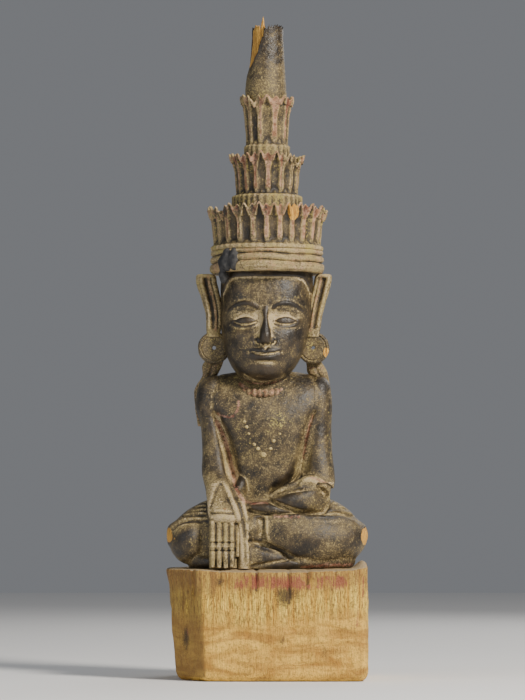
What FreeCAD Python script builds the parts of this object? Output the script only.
"""Crowned seated Buddha in carved, lacquered and gilded wood, on its raw timber block.

The figure is built up from separately carved pieces that are scribed to each other and held by dowels
and pegs. Millimetres, +Z up. The figure faces -Y, so its own right hand is at -X. The origin is on the
floor, at the middle of the timber block.
"""

import FreeCAD, Part
import os
import Sketcher

SIZES = [
    # Timber block under the figure
    ("plinth_width", 150, "across its top"),
    ("plinth_depth", 112, "front to back"),
    ("plinth_height", 83, "floor to the figure's seat"),
    ("plinth_lean", 7, "how far its right-hand flank leans in at the foot"),
    ("plinth_hewn_width", 24, "corner hewn off beside the right knee, along X"),
    ("plinth_hewn_depth", 34, "the same corner, along Y"),
    ("plinth_corner", 8, "the other front corner, cut at 45 degrees"),
    ("plinth_arris", 5, "radius of its worn edges"),
    # Crossed legs
    ("knee_span", 148, "knee tip to knee tip"),
    ("lap_height", 51, "block to the flat that the torso stands on"),
    ("lap_depth", 90, "shins to buttocks"),
    ("lap_forward", 5, "how far the legs sit forward of the block's middle"),
    ("sole_length", 50, "upturned foot on the lap"),
    ("sole_width", 20, "the same foot, front to back"),
    ("sole_height", 14, "the same foot, top to bottom"),
    # Torso and sleeves
    ("torso_height", 92, "lap to the neck seat"),
    ("waist_width", 60, "where the torso meets the lap"),
    ("waist_depth", 42, "the same, front to back"),
    ("chest_width", 86, "at the armpits"),
    ("chest_depth", 46, "the same, front to back"),
    ("shoulder_spread", 80, "between the middles of the two sleeves"),
    ("sleeve_width", 20, "across a sleeve at the shoulder"),
    ("sleeve_depth", 30, "the same, front to back"),
    ("shoulder_rise", 3, "shoulder top above the neck seat"),
    # Hands
    ("hand_width", 24, "four fingers side by side"),
    ("hand_depth", 12, "back of the hand to the palm"),
    ("hand_length", 38, "wrist to fingertips"),
    ("finger_gap", 1.4, "saw cut between two fingers"),
    ("finger_gap_depth", 4, "depth of that cut"),
    ("fingers", 4, "on the hand that touches the earth"),
    ("forearm_length", 48, "sleeve mouth to the fingertips of the resting hand"),
    # Head and neck
    ("head_width", 64, "temple to temple"),
    ("head_depth", 74, "forehead to the back of the skull"),
    ("head_height", 79, "neck seat to the crown"),
    ("neck_width", 30, "across the stub that stands on the torso"),
    ("nose_height", 22, "top to bottom"),
    ("collar_radius", 24, "outside of the beaded collar"),
    ("collar_height", 3.4, "thickness of the collar"),
    ("collar_beads", 28, "beads round the collar"),
    # Ears
    ("ear_height", 50, "disc to the crown"),
    ("ear_top_width", 18, "across the flared top"),
    ("ear_foot_width", 11, "just above the disc"),
    ("ear_depth", 9, "front to back"),
    ("ear_disc_radius", 12, "round ear plug"),
    ("ear_disc_depth", 8, "thickness of the plug"),
    ("ear_disc_bevel", 1.6, "bevel round its front edge"),
    ("ear_disc_bore", 1.5, "radius of the hole right through it"),
    ("right_disc_reach", 40, "middle of the figure to the right plug's middle"),
    ("left_disc_reach", 35, "middle of the figure to the left plug's middle"),
    ("ribbon_depth", 5, "thickness of the ribbons behind the shoulders"),
    ("ribbon_drop", 42, "how far they fall below the ear plugs' middles"),
    # Crown
    ("band_radius", 43, "moulded band"),
    ("band_height", 17, "its height"),
    ("band_groove", 1.6, "depth of the grooves between its three rolls"),
    ("putty_width", 12, "old putty repair let into the band"),
    ("putty_depth", 5, "how deep it is let in"),
    ("putty_angle", 32, "degrees round from the front, towards the right ear"),
    ("crown_bore", 6.2, "radius of the bore for the core rod"),
    ("lower_collar_radius", 42, "foot of the lower tier"),
    ("lower_collar_height", 5, "its height"),
    ("lower_foot_radius", 39.5, "petals' foot, lower tier"),
    ("lower_rim_radius", 45.5, "petals' tips, lower tier"),
    ("lower_height", 36, "band to the petals' tips"),
    ("lower_cup", 12, "depth of the cup inside the petals"),
    ("lower_petals", 24, "petals round the lower tier"),
    ("middle_collar_radius", 25, "foot of the middle tier"),
    ("middle_collar_height", 19, "its height"),
    ("middle_foot_radius", 22.5, "petals' foot, middle tier"),
    ("middle_rim_radius", 28.5, "petals' tips, middle tier"),
    ("middle_height", 51, "its foot to the petals' tips"),
    ("middle_cup", 8, "depth of the cup inside the petals"),
    ("middle_petals", 16, "petals round the middle tier"),
    ("upper_collar_radius", 17, "foot of the upper tier"),
    ("upper_collar_height", 14, "its height"),
    ("upper_foot_radius", 15, "petals' foot, upper tier"),
    ("upper_rim_radius", 20.5, "petals' tips, upper tier"),
    ("upper_height", 51, "its foot to the petals' tips"),
    ("upper_cup", 7, "depth of the cup inside the petals"),
    ("upper_petals", 10, "petals round the upper tier"),
    ("petal_wall", 3, "thickness of the petals at their tips"),
    ("finial_foot_radius", 14.6, "broken spire, at its foot"),
    ("finial_top_radius", 12.4, "at the break"),
    ("finial_height", 59, "to the break"),
    ("splinter_height", 8, "longest splinter above the break"),
    # Joinery
    ("glue_gap", 0.1, "room round a dowel, and between scribed faces"),
    ("dowel_radius", 5, "block to legs"),
    ("dowel_pitch", 70, "between those two"),
    ("dowel_grip", 20, "how far each dowel enters each piece"),
    ("neck_dowel_radius", 5, "head to torso"),
    ("waist_dowel_radius", 4, "torso to legs"),
    ("waist_dowel_pitch", 30, "between those two"),
    ("core_rod_radius", 6, "rod up the middle of the crown"),
    ("core_rod_grip", 15, "how far the rod enters the head and the finial"),
    ("peg_radius", 2.5, "shoulder pegs"),
    ("peg_length", 20, "the same"),
    ("small_peg_radius", 1.5, "wrist, elbow and ear pegs"),
    ("small_peg_length", 12, "the same"),
    ("bead_radius", 1.5, "putty beads of the necklace"),
]

# Levels and places that several pieces share, as spreadsheet expressions
SEAT = "Sizes.plinth_height"
LAP = f"({SEAT} + Sizes.lap_height)"
NECK = f"({LAP} + Sizes.torso_height)"
CROWN = f"({NECK} + Sizes.head_height)"
TIERS = f"({CROWN} + Sizes.band_height)"
LOWER_FLOOR = f"({TIERS} + Sizes.lower_height - Sizes.lower_cup)"
MIDDLE_FLOOR = f"({LOWER_FLOOR} + Sizes.middle_height - Sizes.middle_cup)"
UPPER_FLOOR = f"({MIDDLE_FLOOR} + Sizes.upper_height - Sizes.upper_cup)"
BREAK = f"({UPPER_FLOOR} + Sizes.finial_height)"
WRIST = f"({SEAT} + Sizes.hand_length + 1)"
PLINTH_FRONT = "(-Sizes.plinth_depth / 2)"
HAND_X = "(-Sizes.shoulder_spread / 2 + 8.5)"
HAND_MIDDLE_Y = f"({PLINTH_FRONT} + 0.5 + Sizes.hand_depth / 2)"
DISC_Z = f"({CROWN} - Sizes.ear_height - 6)"
EAR_BACK = "2"

SIDES = {"right": -1, "left": 1}
BIG = 400
QUARTER = FreeCAD.Rotation(FreeCAD.Vector(0, 0, 1), 90)
ACROSS = FreeCAD.Rotation(FreeCAD.Vector(1, 1, 1), 120)

doc = FreeCAD.newDocument("CrownedBuddha")
pieces = []


def fill_sheet():
    """Writes every driving dimension to a cell of its own, with its alias and what it measures."""
    sheet = doc.addObject("Spreadsheet::Sheet", "Sizes")
    for row, (alias, value, meaning) in enumerate(SIZES, start=1):
        sheet.set(f"A{row}", str(value))
        sheet.setAlias(f"A{row}", alias)
        sheet.set(f"B{row}", meaning)
    doc.recompute()
    return sheet


def value(expression):
    """The number that an expression on the sheet has now."""
    return float(sheet.evalExpression(str(expression)))


def bind(obj, **properties):
    """Ties an object's sizes to expressions; x, y and z are its place."""
    places = {"x": ".Placement.Base.x", "y": ".Placement.Base.y", "z": ".Placement.Base.z"}
    for name, expression in properties.items():
        obj.setExpression(places.get(name, name), str(expression))
    return obj


def keep(node, obj):
    """Names an object as a finished piece of the statue."""
    obj.Label = node
    pieces.append(obj)
    return obj


# Part primitives


def cylinder(name, radius, height, x, y, z, along="z"):
    rod = doc.addObject("Part::Cylinder", name)
    if along == "x":
        rod.Placement.Rotation = FreeCAD.Rotation(FreeCAD.Vector(0, 1, 0), 90)
    if along == "y":
        rod.Placement.Rotation = FreeCAD.Rotation(FreeCAD.Vector(1, 0, 0), 90)
    return bind(rod, Radius=radius, Height=height, x=x, y=y, z=z)


def ellipsoid(name, half_x, half_y, half_z, x, y, z):
    return bind(
        doc.addObject("Part::Ellipsoid", name),
        Radius1=half_z, Radius2=half_x, Radius3=half_y, x=x, y=y, z=z,
    )


def slab(name, x, y, z, length, width, height):
    return bind(
        doc.addObject("Part::Box", name),
        Length=length, Width=width, Height=height, x=x, y=y, z=z,
    )


def loft(name, sections, across=False):
    """A solid through ellipses, each (x, y, z, half size along X or Z, half size along Y).

    The ellipses lie level, or upright across X. Their longer axis has to be the same way in all of them.
    """
    along_y = all(value(half_y) >= value(half) for _, _, _, half, half_y in sections)
    wires = []
    for number, (x, y, z, half, half_y) in enumerate(sections):
        wire = doc.addObject("Part::Ellipse", f"{name}_section_{number}")
        longer, shorter = (half_y, half) if along_y else (half, half_y)
        if along_y:
            wire.Placement.Rotation = ACROSS if across else QUARTER
        bind(wire, MajorRadius=longer, MinorRadius=shorter, x=x, y=y, z=z)
        wires.append(wire)
    solid = doc.addObject("Part::Loft", name)
    solid.Sections = wires
    solid.Solid = True
    return solid


def fuse(name, shapes):
    joined = doc.addObject("Part::MultiFuse", name)
    joined.Shapes = shapes
    return joined


def cut(name, base, tools):
    """base with the tools taken out of it, all at once."""
    result = doc.addObject("Part::Cut", name)
    result.Base = base
    result.Tool = tools[0] if len(tools) == 1 else fuse(f"{name}_tools", tools)
    return result


def common(name, base, tool):
    result = doc.addObject("Part::Common", name)
    result.Base = base
    result.Tool = tool
    return result


def group(name, solids):
    """Several separate solids kept as one piece."""
    together = doc.addObject("Part::Compound", name)
    together.Links = solids
    return together


# PartDesign helpers


def origin(body, role):
    return next(item for item in body.Origin.OriginFeatures if item.Role == role)


def empty_sketch(body, name, plane, lift=None):
    sketch = body.newObject("Sketcher::SketchObject", name)
    sketch.AttachmentSupport = [(origin(body, plane), "")]
    sketch.MapMode = "FlatFace"
    if lift is not None:
        sketch.setExpression(".AttachmentOffset.Base.z", str(lift))
    return sketch


def outline(body, name, plane, corners, lift=None):
    """A closed sketch of straight lines whose corners are pairs of sheet expressions."""
    sketch = empty_sketch(body, name, plane, lift)
    now = [FreeCAD.Vector(value(u), value(v), 0) for u, v in corners]
    count = len(now)
    for i in range(count):
        sketch.addGeometry(Part.LineSegment(now[i], now[(i + 1) % count]))
    for i in range(count):
        sketch.addConstraint(Sketcher.Constraint("Coincident", i, 2, (i + 1) % count, 1))
    for i, corner in enumerate(corners):
        for kind, number, expression in zip(("DistanceX", "DistanceY"), now[i], corner):
            at = sketch.addConstraint(Sketcher.Constraint(kind, -1, 1, i, 1, number))
            sketch.setExpression(f"Constraints[{at}]", str(expression))
    return sketch


def circles(body, name, plane, rounds, lift=None):
    """A sketch of circles, each (u, v, radius) in sheet expressions."""
    sketch = empty_sketch(body, name, plane, lift)
    for i, (u, v, radius) in enumerate(rounds):
        middle = FreeCAD.Vector(value(u), value(v), 0)
        sketch.addGeometry(Part.Circle(middle, FreeCAD.Vector(0, 0, 1), value(radius)))
        for kind, number, expression in (
            ("DistanceX", middle.x, u),
            ("DistanceY", middle.y, v),
        ):
            at = sketch.addConstraint(Sketcher.Constraint(kind, -1, 1, i, 3, number))
            sketch.setExpression(f"Constraints[{at}]", str(expression))
        at = sketch.addConstraint(Sketcher.Constraint("Radius", i, value(radius)))
        sketch.setExpression(f"Constraints[{at}]", str(radius))
    return sketch


def pad(body, name, sketch, length, reverse=False):
    feature = body.newObject("PartDesign::Pad", name)
    feature.Profile = sketch
    feature.Reversed = reverse
    feature.setExpression("Length", str(length))
    return feature


def pocket(body, name, sketch, depth, reverse=False):
    """Cuts a sketch into the body, and stops the build if it takes nothing away."""
    doc.recompute()
    before = body.Shape.Volume
    feature = body.newObject("PartDesign::Pocket", name)
    feature.Profile = sketch
    feature.Reversed = reverse
    feature.setExpression("Length", str(depth))
    doc.recompute()
    if not feature.Shape.Volume < before:
        raise RuntimeError(f"{name} cuts nothing")
    return feature


def revolve(body, name, sketch):
    feature = body.newObject("PartDesign::Revolution", name)
    feature.Profile = sketch
    feature.ReferenceAxis = (sketch, ["V_Axis"])
    feature.Angle = 360
    return feature


def round_pattern(body, name, feature, count):
    pattern = body.newObject("PartDesign::PolarPattern", name)
    pattern.Originals = [feature]
    pattern.Axis = (origin(body, "Z_Axis"), [""])
    pattern.Angle = 360
    pattern.setExpression("Occurrences", str(count))
    body.Tip = pattern
    return pattern


def edges_of(body, wanted):
    """Names of the edges of a body's present shape for which wanted(edge) is true."""
    doc.recompute()
    found = [f"Edge{i}" for i, edge in enumerate(body.Shape.Edges, start=1) if wanted(edge)]
    if not found:
        raise RuntimeError(f"{body.Name} has no such edge")
    return found


def soften(body, name, kind, wanted, size):
    """A PartDesign Fillet or Chamfer on the chosen edges."""
    base = body.Tip
    names = edges_of(body, wanted)
    feature = body.newObject(f"PartDesign::{kind}", name)
    feature.Base = (base, names)
    feature.setExpression("Radius" if kind == "Fillet" else "Size", str(size))
    return feature


# Pieces of the statue


def make_plinth():
    """Raw timber block: one front corner hewn away, one flank leaning in, worn edges, two dowel holes."""
    body = doc.addObject("PartDesign::Body", "PlinthBody")
    right, left = "-Sizes.plinth_width / 2", "Sizes.plinth_width / 2"
    back, front = "Sizes.plinth_depth / 2", PLINTH_FRONT
    plan = outline(
        body, "PlinthPlan", "XY_Plane",
        [
            (right, back),
            (left, back),
            (left, f"{front} + Sizes.plinth_corner"),
            (f"{left} - Sizes.plinth_corner", front),
            (f"{right} + Sizes.plinth_hewn_width", front),
            (right, f"{front} + Sizes.plinth_hewn_depth"),
        ],
    )
    pad(body, "PlinthPad", plan, SEAT)
    soften(body, "PlinthEdges", "Fillet", lambda e: e.BoundBox.ZLength > 1, "Sizes.plinth_arris")
    soften(body, "PlinthFootEdges", "Chamfer", lambda e: e.BoundBox.ZMax < 0.01, "Sizes.plinth_arris / 2")
    wedge = outline(
        body, "PlinthLean", "XZ_Plane",
        [(f"{right} - 1", "-1"), (f"{right} + Sizes.plinth_lean", "-1"), (f"{right} - 1", SEAT)],
        lift=f"-({back}) - 1",
    )
    pocket(body, "PlinthLeanCut", wedge, "Sizes.plinth_depth + 2", reverse=True)
    hole = "Sizes.dowel_radius + Sizes.glue_gap"
    places = [(f"{side} * Sizes.dowel_pitch / 2", "0", hole) for side in SIDES.values()]
    holes = circles(body, "PlinthHoles", "XY_Plane", places, lift=SEAT)
    pocket(body, "PlinthDowelHoles", holes, "Sizes.dowel_grip + Sizes.glue_gap")
    return keep("plinth_block", body)


def make_plinth_dowels():
    rods = [
        cylinder(
            f"plinth_dowel_{name}", "Sizes.dowel_radius", "2 * Sizes.dowel_grip",
            f"{side} * Sizes.dowel_pitch / 2", "0", f"{SEAT} - Sizes.dowel_grip",
        )
        for name, side in SIDES.items()
    ]
    return keep("plinth_dowels", group("PlinthDowels", rods))


def make_sleeve(name, sections):
    """An arm in its sleeve, from the shoulder down."""
    side = SIDES[name]
    reach = f"{side} * Sizes.shoulder_spread / 2"
    solid = loft(
        f"{name}_sleeve_shape",
        [
            (f"{reach} - {side} * {inward}", forward, height,
             f"Sizes.sleeve_width / 2 * {narrow}", f"Sizes.sleeve_depth / 2 * {shallow}")
            for inward, forward, height, narrow, shallow in sections
        ],
    )
    return solid


def make_lap_shape():
    """Both crossed legs as one rounded mass, knee tip to knee tip, with the upturned foot on top."""
    half = "Sizes.knee_span / 2"
    middle_y = "-Sizes.lap_forward"
    stations = [  # share of the half span, half height, half depth, forward shift
        (1.00, 0.08, 0.07, 15),
        (0.95, 0.36, 0.34, 13),
        (0.84, 0.72, 0.60, 9),
        (0.66, 1.00, 0.84, 4),
        (0.00, 1.14, 1.00, 0),
    ]
    both = [(-share, *rest) for share, *rest in stations] + [
        (share, *rest) for share, *rest in reversed(stations[:-1])
    ]
    legs = loft(
        "LegsLoft",
        [
            (f"{half} * {share}", f"{middle_y} - {forward}", f"{SEAT} + Sizes.lap_height * 0.48",
             f"Sizes.lap_height / 2 * {high}", f"Sizes.lap_depth / 2 * {deep}")
            for share, high, deep, forward in both
        ],
        across=True,
    )
    layer = slab("LapLayer", -BIG / 2, -BIG / 2, SEAT, BIG, BIG, "Sizes.lap_height")
    sole = ellipsoid(
        "SoleShape", "Sizes.sole_length / 2", "Sizes.sole_width / 2", "Sizes.sole_height / 2",
        "8", f"{middle_y} - Sizes.lap_depth / 2 + Sizes.sole_width / 2 + 2", f"{LAP} - 3",
    )
    return fuse("LegsAndSole", [common("LegsTrimmed", legs, layer), sole])


def make_torso_shape():
    """Chest and waist, before the sleeves are let into it."""
    levels = [  # share of the height, half width, half depth
        (0.0, "Sizes.waist_width / 2", "Sizes.waist_depth / 2"),
        (0.3, "(Sizes.waist_width + Sizes.chest_width) / 4", "(Sizes.waist_depth + Sizes.chest_depth) / 4"),
        (0.65, "Sizes.chest_width / 2", "Sizes.chest_depth / 2"),
        (0.9, "Sizes.chest_width / 2", "Sizes.chest_depth / 2 * 0.92"),
        (1.0, "Sizes.chest_width / 2 * 0.86", "Sizes.chest_depth / 2 * 0.74"),
    ]
    return loft(
        "TorsoLoft",
        [("0", "0", f"{LAP} + Sizes.torso_height * {share}", w, d) for share, w, d in levels],
    )


def make_body_pieces():
    """Legs, torso, sleeves and the resting forearm, each scribed to the pieces that it meets."""
    right = make_sleeve(
        "right",
        [  # inward, forward, height, share of the width, share of the depth
            (3, "0", f"{NECK} + Sizes.shoulder_rise", 0.6, 0.6),
            (1, "0", f"{NECK} - 9", 1.15, 1.0),
            (0, "-1", f"{NECK} - 30", 1.0, 0.97),
            (2, "-4", f"{NECK} - 54", 1.0, 0.95),
            (4, "-16", f"{LAP} + 20", 1.05, 0.95),
            (7, "-32", f"{LAP} + 2", 1.1, 0.85),
            (8.5, f"{HAND_MIDDLE_Y} + 5", WRIST, 1.1, 0.75),
        ],
    )
    left = make_sleeve(
        "left",
        [
            (3, "0", f"{NECK} + Sizes.shoulder_rise", 0.6, 0.6),
            (1, "0", f"{NECK} - 9", 1.15, 1.0),
            (0, "-1", f"{NECK} - 30", 1.0, 0.97),
            (1, "-4", f"{NECK} - 54", 1.0, 0.95),
            (1, "-9", f"{LAP} + 18", 0.95, 0.95),
            (0, "-12", f"{LAP} + 4", 0.85, 0.8),
        ],
    )
    reach = "Sizes.shoulder_spread / 2"
    forearm_rough = loft(
        "ForearmLoft",
        [
            (f"{reach} + 2", "-17", f"{LAP} + 9", 6, 8),
            (f"{reach} - Sizes.forearm_length * 0.25", "-24", f"{LAP} + 9", 8, 10),
            (f"{reach} - Sizes.forearm_length * 0.6", "-31", f"{LAP} + 7", 6, 9),
            (f"{reach} - Sizes.forearm_length * 0.9", "-36", f"{LAP} + 4.5", 2.5, 6),
            (f"{reach} - Sizes.forearm_length", "-38", f"{LAP} + 4", 1, 2.5),
        ],
        across=True,
    )
    lap_shape = make_lap_shape()
    torso_shape = make_torso_shape()

    small = "Sizes.small_peg_radius"
    wrist = ("WristPeg", HAND_X, HAND_MIDDLE_Y, f"{WRIST} - Sizes.small_peg_length / 2")
    elbow = ("ElbowPeg", f"{reach} - 14", "-16", f"{LAP} + 9")
    wrist_peg = cylinder(wrist[0], small, "Sizes.small_peg_length", *wrist[1:])
    wrist_hole = cylinder("WristHole", f"{small} + Sizes.glue_gap", "Sizes.small_peg_length", *wrist[1:])
    elbow_peg = cylinder(elbow[0], small, "Sizes.small_peg_length", *elbow[1:], along="x")
    elbow_hole = cylinder(
        "ElbowHole", f"{small} + Sizes.glue_gap", "Sizes.small_peg_length", *elbow[1:], along="x"
    )

    shoulder_pegs, shoulder_holes = [], {"right": [], "left": []}
    for name, side in SIDES.items():
        start = f"{side} * Sizes.shoulder_spread / 2 - Sizes.peg_length * {0.75 if side > 0 else 0.25}"
        for number, below in enumerate((22, 42)):
            place = (start, "0", f"{NECK} - {below}")
            shoulder_pegs.append(
                cylinder(f"{name}_peg_{number}", "Sizes.peg_radius", "Sizes.peg_length", *place, along="x")
            )
            shoulder_holes[name].append(
                cylinder(
                    f"{name}_peg_hole_{number}", "Sizes.peg_radius + Sizes.glue_gap",
                    "Sizes.peg_length", *place, along="x",
                )
            )

    hand = make_right_hand([wrist_hole])
    right_arm = cut("RightArm", right, [*shoulder_holes["right"], wrist_hole])
    left_arm = cut("LeftArm", left, [*shoulder_holes["left"], elbow_hole])
    below_lap = slab("BelowLap", -BIG / 2, -BIG / 2, f"{LAP} - {BIG}", BIG, BIG, BIG)
    forearm = cut("LeftForearm", forearm_rough, [left, lap_shape, below_lap, elbow_hole])

    waist_pegs, waist_holes = [], []
    for name, side in SIDES.items():
        place = (f"{side} * Sizes.waist_dowel_pitch / 2", "4", f"{LAP} - Sizes.dowel_grip")
        waist_pegs.append(cylinder(f"waist_dowel_{name}", "Sizes.waist_dowel_radius", "2 * Sizes.dowel_grip", *place))
        waist_holes.append(
            cylinder(f"waist_hole_{name}", "Sizes.waist_dowel_radius + Sizes.glue_gap", "2 * Sizes.dowel_grip", *place)
        )
    plinth_holes = [
        cylinder(
            f"lap_hole_{name}", "Sizes.dowel_radius + Sizes.glue_gap", "Sizes.dowel_grip + Sizes.glue_gap",
            f"{side} * Sizes.dowel_pitch / 2", "0", SEAT,
        )
        for name, side in SIDES.items()
    ]
    hand_recess = slab(
        "HandRecess", f"{HAND_X} - Sizes.hand_width / 2", -BIG, SEAT,
        "Sizes.hand_width", f"{BIG} - Sizes.plinth_depth / 2 + 0.5 + Sizes.hand_depth", "Sizes.hand_length + 1",
    )
    neck_hole = cylinder(
        "NeckHoleInTorso", "Sizes.neck_dowel_radius + Sizes.glue_gap", "Sizes.dowel_grip + Sizes.glue_gap",
        "0", "0", f"{NECK} - Sizes.dowel_grip - Sizes.glue_gap",
    )
    every_hole = shoulder_holes["right"] + shoulder_holes["left"]
    torso = cut("Torso", torso_shape, [right, left, forearm_rough, neck_hole, *every_hole, *waist_holes])
    lap = cut("Lap", lap_shape, [right, left, hand_recess, *waist_holes, *plinth_holes])

    keep("crossed_legs", lap)
    keep("torso", torso)
    keep("right_arm", right_arm)
    keep("left_arm", left_arm)
    keep("left_forearm", forearm)
    keep("right_hand", hand)
    keep("shoulder_pegs", group("ShoulderPegs", shoulder_pegs))
    keep("waist_dowels", group("WaistDowels", waist_pegs))
    keep("wrist_peg", wrist_peg)
    keep("elbow_peg", elbow_peg)
    return torso, right, left


def make_right_hand(holes):
    """Flat hand with four straight fingers, hanging over the shin to touch the block."""
    body = doc.addObject("PartDesign::Body", "RightHandBody")
    low = f"{SEAT} + 0.2"
    half = "Sizes.hand_width / 2"
    shape = outline(
        body, "HandOutline", "XZ_Plane",
        [
            (f"{HAND_X} - {half}", low),
            (f"{HAND_X} + {half}", low),
            (f"{HAND_X} + {half}", WRIST),
            (f"{HAND_X} - {half}", WRIST),
        ],
        lift=f"-({PLINTH_FRONT} + 0.5)",
    )
    pad(body, "HandPad", shape, "Sizes.hand_depth", reverse=True)
    pitch = "Sizes.hand_width / Sizes.fingers"
    first = f"{HAND_X} - {half} + {pitch}"
    gap = outline(
        body, "FingerGap", "XZ_Plane",
        [
            (f"{first} - Sizes.finger_gap / 2", low),
            (f"{first} + Sizes.finger_gap / 2", low),
            (f"{first} + Sizes.finger_gap / 2", f"{WRIST} - 4"),
            (f"{first} - Sizes.finger_gap / 2", f"{WRIST} - 4"),
        ],
        lift=f"-({PLINTH_FRONT} + 0.5)",
    )
    slot = pocket(body, "FingerSlot", gap, "Sizes.finger_gap_depth")
    row = body.newObject("PartDesign::LinearPattern", "FingerRow")
    row.Originals = [slot]
    row.Direction = (origin(body, "X_Axis"), [""])
    row.setExpression("Length", f"{pitch} * (Sizes.fingers - 2)")
    row.setExpression("Occurrences", "Sizes.fingers - 1")
    body.Tip = row
    return cut("RightHand", body, holes)


def make_head():
    """Skull, neck stub and nose; its flat top carries the crown."""
    wide, deep = "Sizes.head_width / 2", "Sizes.head_depth / 2"
    skull = loft(
        "HeadLoft",
        [
            ("0", "0", NECK, "Sizes.neck_width / 2", "Sizes.neck_width / 2 * Sizes.head_depth / Sizes.head_width"),
            ("0", "-2", f"{NECK} + Sizes.head_height * 0.12", f"{wide} * 0.58", f"{deep} * 0.58"),
            ("0", "-2", f"{NECK} + Sizes.head_height * 0.28", f"{wide} * 0.89", f"{deep} * 0.89"),
            ("0", "0", f"{NECK} + Sizes.head_height * 0.52", wide, deep),
            ("0", "0", f"{NECK} + Sizes.head_height * 0.8", f"{wide} * 1.01", f"{deep} * 1.01"),
            ("0", "0", CROWN, f"{wide} * 0.97", f"{deep} * 0.97"),
        ],
    )
    nose = ellipsoid(
        "NoseShape", "5", "6", "Sizes.nose_height / 2",
        "0", f"-{deep} + 1", f"{NECK} + Sizes.head_height * 0.45",
    )
    shape = fuse("HeadShape", [skull, nose])
    neck_bore = cylinder(
        "NeckHoleInHead", "Sizes.neck_dowel_radius + Sizes.glue_gap", "Sizes.dowel_grip + Sizes.glue_gap",
        "0", "0", NECK,
    )
    rod_bore = cylinder(
        "RodHoleInHead", "Sizes.crown_bore", "Sizes.core_rod_grip + Sizes.glue_gap",
        "0", "0", f"{CROWN} - Sizes.core_rod_grip - Sizes.glue_gap",
    )
    head = cut("Head", shape, [neck_bore, rod_bore])
    neck_dowel = cylinder(
        "NeckDowel", "Sizes.neck_dowel_radius", "2 * Sizes.dowel_grip",
        "0", "0", f"{NECK} - Sizes.dowel_grip",
    )
    keep("neck_dowel", neck_dowel)
    return head


def make_collar(torso):
    """Ring of carved beads round the foot of the neck, lying on the torso."""
    body = doc.addObject("PartDesign::Body", "CollarBody")
    inside = "Sizes.neck_width / 2 * Sizes.head_depth / Sizes.head_width + 3.6"
    profile = outline(
        body, "CollarProfile", "XZ_Plane",
        [
            (inside, f"{NECK}"),
            ("Sizes.collar_radius", f"{NECK}"),
            ("Sizes.collar_radius", f"{NECK} + Sizes.collar_height * 0.5"),
            ("Sizes.collar_radius - 1.5", f"{NECK} + Sizes.collar_height"),
            (inside, f"{NECK} + Sizes.collar_height"),
        ],
    )
    revolve(body, "CollarRing", profile)
    notch = outline(
        body, "CollarNotch", "XZ_Plane",
        [
            ("-0.7", f"{NECK} + Sizes.collar_height + 0.5"),
            ("0.7", f"{NECK} + Sizes.collar_height + 0.5"),
            ("0", f"{NECK} + Sizes.collar_height * 0.45"),
        ],
    )
    cut_notch = pocket(body, "CollarCut", notch, "Sizes.collar_radius + 2")
    round_pattern(body, "CollarNotches", cut_notch, "Sizes.collar_beads")
    return keep("neck_collar", body)


def make_disc_shape(name):
    """Round ear plug with a bevelled front edge and a hole right through it."""
    side = SIDES[name]
    body = doc.addObject("PartDesign::Body", f"{name}_disc_body")
    rounds = [("0", "0", "Sizes.ear_disc_radius"), ("0", "0", "Sizes.ear_disc_bore")]
    face = circles(body, f"{name}_disc_circles", "XZ_Plane", rounds)
    pad(body, f"{name}_disc_pad", face, "Sizes.ear_disc_depth")
    soften(
        body, f"{name}_disc_bevel", "Chamfer",
        lambda e: e.BoundBox.YMax < -1 and e.BoundBox.XLength > 6, "Sizes.ear_disc_bevel",
    )
    return bind(body, x=f"{side} * Sizes.{name}_disc_reach", y=EAR_BACK, z=DISC_Z)


def make_ears(head):
    """On each side a fluted ear, its round plug, and the ribbon that falls from it behind the shoulder."""
    pegs = []
    for name, side in SIDES.items():
        disc_rough = make_disc_shape(name)
        disc_x = f"{side} * Sizes.{name}_disc_reach"
        body = doc.addObject("PartDesign::Body", f"{name}_ear_body")
        foot_z = f"{DISC_Z} + 6"
        outer = f"{side} * (Sizes.head_width / 2 + "
        shape = outline(
            body, f"{name}_ear_outline", "XZ_Plane",
            [
                (f"{outer} -8)", foot_z),
                (f"{outer} Sizes.ear_foot_width - 2)", foot_z),
                (f"{outer} Sizes.ear_foot_width)", f"{CROWN} - Sizes.ear_height * 0.4"),
                (f"{outer} Sizes.ear_top_width)", f"{CROWN} - 3"),
                (f"{outer} Sizes.ear_top_width - 2)", f"{CROWN} - 0.3"),
                (f"{outer} -8)", f"{CROWN} - 0.3"),
            ],
            lift=f"-({EAR_BACK})",
        )
        pad(body, f"{name}_ear_pad", shape, "Sizes.ear_depth")
        peg_x = f"{side} * Sizes.head_width / 2 - Sizes.small_peg_length / 2"
        peg_place = (peg_x, f"{EAR_BACK} - Sizes.ear_depth / 2", f"{CROWN} - Sizes.ear_height * 0.45")
        pegs.append(
            cylinder(f"{name}_ear_peg", "Sizes.small_peg_radius", "Sizes.small_peg_length", *peg_place, along="x")
        )
        hole = cylinder(
            f"{name}_ear_peg_hole", "Sizes.small_peg_radius + Sizes.glue_gap", "Sizes.small_peg_length",
            *peg_place, along="x",
        )
        ear = cut(f"{name}_ear_cut", body, [head, disc_rough, hole])
        keep(f"{name}_ear", ear)
        keep(f"{name}_ear_disc", cut(f"{name}_disc_cut", disc_rough, [head]))
        bored.append(hole)
        make_ribbon(name, side, disc_x)
    keep("ear_pegs", group("EarPegs", pegs))


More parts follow.
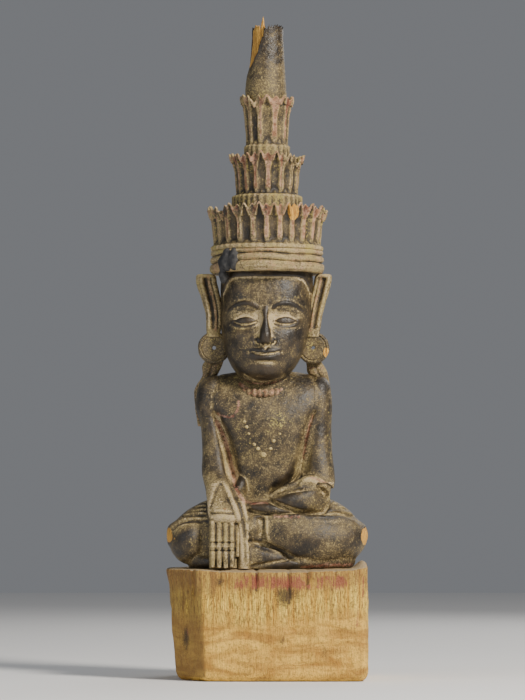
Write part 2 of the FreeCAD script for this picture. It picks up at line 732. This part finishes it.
def make_ribbon(name, side, disc_x):
    """Flat ribbon from behind the plug, over the shoulder and down behind the arm."""
    body = doc.addObject("PartDesign::Body", f"{name}_ribbon_body")
    outer = f"{side} * (Sizes.shoulder_spread / 2 + Sizes.sleeve_width / 2 + "
    low = f"{DISC_Z} - Sizes.ribbon_drop"
    shape = outline(
        body, f"{name}_ribbon_outline", "XZ_Plane",
        [
            (f"{side} * 29", f"{DISC_Z} - 4"),
            (f"{side} * 43", f"{DISC_Z} - 4"),
            (f"{outer} -1)", f"{DISC_Z} - 14"),
            (f"{outer} 3)", f"{DISC_Z} - 26"),
            (f"{outer} 3)", low),
            (f"{outer} -5)", low),
            (f"{outer} -8)", f"{DISC_Z} - 28"),
            (f"{side} * 29", f"{NECK} + 2"),
        ],
        lift=f"-({EAR_BACK} + Sizes.ribbon_depth + 0.2)",
    )
    pad(body, f"{name}_ribbon_pad", shape, "Sizes.ribbon_depth")
    ribbon = cut(f"{name}_ribbon_cut", body, [sleeves[name], torso_piece, head_shape])
    return keep(f"{name}_shoulder_ribbon", ribbon)


def make_band():
    """Crown band of three rolls, with the place of an old putty repair cut into it."""
    body = doc.addObject("PartDesign::Body", "BandBody")
    radius, groove = "Sizes.band_radius", "Sizes.band_radius - Sizes.band_groove"
    roll = "Sizes.band_height / 3"
    corners = [("Sizes.crown_bore", CROWN)]
    for number in range(3):
        low = f"{CROWN} + {roll} * {number}"
        corners += [
            (groove, low),
            (radius, f"{low} + {roll} * 0.3"),
            (radius, f"{low} + {roll} * 0.7"),
        ]
    corners += [(groove, TIERS), ("Sizes.crown_bore", TIERS)]
    revolve(body, "BandRing", outline(body, "BandProfile", "XZ_Plane", corners))
    turn = FreeCAD.Rotation(FreeCAD.Vector(0, 0, 1), 0)
    notch = doc.addObject("Part::Box", "PuttyNotch")
    notch.Placement.Rotation = turn
    angle = "Sizes.putty_angle"
    reach = "(Sizes.band_radius - Sizes.putty_depth)"
    notch.setExpression(".Placement.Rotation.Yaw", f"-90 - {angle}")
    bind(
        notch, Length=20, Width="Sizes.putty_width", Height="Sizes.band_height",
        x=f"-{reach} * sin({angle} * 1deg) - Sizes.putty_width / 2 * cos({angle} * 1deg)",
        y=f"-{reach} * cos({angle} * 1deg) + Sizes.putty_width / 2 * sin({angle} * 1deg)",
        z=CROWN,
    )
    plug = cylinder("BandSolid", radius, "Sizes.band_height", "0", "0", CROWN)
    keep("crown_band", cut("CrownBand", body, [notch]))
    keep("band_putty", common("BandPutty", plug, notch))


def make_tier(name, foot, above_bore):
    """One tier of the crown: a foot ring and a flaring cup of petals, bored for the core rod."""
    body = doc.addObject("PartDesign::Body", f"{name}_tier_body")

    def size(word):
        return f"Sizes.{name}_{word}"

    rim_z = f"({foot} + {size('height')})"
    collar_z = f"({foot} + {size('collar_height')})"
    floor_z = f"({rim_z} - {size('cup')})"
    waist = f"({size('foot_radius')} * 0.7 + {size('rim_radius')} * 0.3)"
    profile = outline(
        body, f"{name}_tier_profile", "XZ_Plane",
        [
            (above_bore, foot),
            (size("collar_radius"), foot),
            (size("collar_radius"), f"{collar_z} - 1"),
            (size("foot_radius"), collar_z),
            (waist, f"{collar_z} * 0.45 + {rim_z} * 0.55"),
            (size("rim_radius"), rim_z),
            (f"{size('rim_radius')} - Sizes.petal_wall", rim_z),
            (f"{waist} - Sizes.petal_wall * 0.6", floor_z),
            (above_bore, floor_z),
        ],
    )
    revolve(body, f"{name}_tier_ring", profile)
    half = f"{size('rim_radius')} * sin(180deg / {size('petals')}) * 0.5"
    notch = outline(
        body, f"{name}_petal_notch", "XZ_Plane",
        [
            (f"-({half})", f"{rim_z} + 1"),
            (half, f"{rim_z} + 1"),
            ("0", f"{rim_z} - {size('cup')} * 0.7"),
        ],
    )
    opening = pocket(body, f"{name}_petal_gap", notch, f"{size('rim_radius')} + 2")
    round_pattern(body, f"{name}_petal_ring", opening, size("petals"))
    return keep(f"crown_tier_{name}", body)


def make_finial():
    """Broken spire: a tapering round stub with a split face and one tall splinter."""
    body = doc.addObject("PartDesign::Body", "FinialBody")
    profile = outline(
        body, "FinialProfile", "XZ_Plane",
        [
            ("0", UPPER_FLOOR),
            ("Sizes.finial_foot_radius", UPPER_FLOOR),
            ("Sizes.finial_top_radius", BREAK),
            ("0", f"{BREAK} - 3"),
        ],
    )
    revolve(body, "FinialStub", profile)
    split = outline(
        body, "FinialSplit", "XZ_Plane",
        [
            ("-Sizes.finial_foot_radius - 1", f"{BREAK} + 2"),
            ("-1", f"{BREAK} + 2"),
            ("-3", f"{BREAK} - 14"),
            ("-7", f"{BREAK} - 32"),
        ],
        lift="Sizes.finial_top_radius - 4",
    )
    pocket(body, "FinialBreak", split, "10", reverse=True)
    splinter = doc.addObject("Part::Cone", "Splinter")
    bind(
        splinter, Radius1=2.4, Radius2=0.3, Height="Sizes.splinter_height + 10",
        x="-3", y="-Sizes.finial_top_radius + 7", z=f"{BREAK} - 10",
    )
    rod_hole = cylinder(
        "RodHoleInFinial", "Sizes.crown_bore", "Sizes.core_rod_grip + Sizes.glue_gap", "0", "0", UPPER_FLOOR,
    )
    keep("crown_finial", cut("CrownFinial", fuse("FinialShape", [body, splinter]), [rod_hole]))


def make_core_rod():
    """Rod that strings the band, the tiers and the finial together."""
    start = f"{CROWN} - Sizes.core_rod_grip"
    rod = cylinder(
        "CoreRod", "Sizes.core_rod_radius", f"{UPPER_FLOOR} + Sizes.core_rod_grip - ({start})", "0", "0", start,
    )
    keep("crown_core_rod", rod)


def make_beads(torso):
    """Putty beads of the necklace: pellets pressed on the chest in a V, some of them lost."""
    foot = f"{LAP} + Sizes.torso_height * 0.3"
    strand = [(-16, 28), (-14, 24), (-10, 12), (-7, 7.5), (-4, 3.5), (0, 0), (3.5, 4), (6, 8), (12, 20)]
    pellets = []
    for number, (x, rise) in enumerate(strand):
        level = value(foot) + rise
        sight = Part.makeLine((x, -BIG, level), (x, 0, level))
        front = torso.Shape.common(sight).BoundBox.YMin
        radius = "Sizes.bead_radius * 1.5" if rise == 0 else "Sizes.bead_radius"
        pellet = cylinder(
            f"pellet_{number}", radius, "Sizes.bead_radius * 2",
            x, f"{front} + Sizes.bead_radius", f"{foot} + {rise}", along="y",
        )
        pellets.append(cut(f"bead_{number}", pellet, [torso]))
    keep("necklace_beads", group("NecklaceBeads", pellets))


def check_and_write():
    """Refuses any failed object or bad shape, then writes one STEP file for each piece."""
    doc.recompute()
    for obj in doc.Objects:
        if "Invalid" in obj.State or "Error" in obj.State:
            raise RuntimeError(f"{obj.Name} failed: {obj.State}")
    for piece in pieces:
        if piece.Shape.isNull() or not piece.Shape.isValid() or not piece.Shape.Solids:
            raise RuntimeError(f"{piece.Label} has no valid solid")
    os.makedirs("parts", exist_ok=True)
    for piece in pieces:
        piece.Shape.exportStep(f"parts/{piece.Label}.step")
        print(f"{piece.Label}: {len(piece.Shape.Solids)} solid, {piece.Shape.Volume / 1000:.2f} cm3")


sheet = fill_sheet()
bored = []
make_plinth()
make_plinth_dowels()
torso_piece, right_sleeve, left_sleeve = make_body_pieces()
sleeves = {"right": right_sleeve, "left": left_sleeve}
head_shape = make_head()
make_collar(torso_piece)
make_ears(head_shape)
keep("head", cut("HeadBored", head_shape, bored))
make_band()
make_tier("lower", TIERS, "Sizes.crown_bore")
make_tier("middle", LOWER_FLOOR, "Sizes.crown_bore")
make_tier("upper", MIDDLE_FLOOR, "Sizes.crown_bore")
make_finial()
make_core_rod()
doc.recompute()
make_beads(torso_piece)
check_and_write()
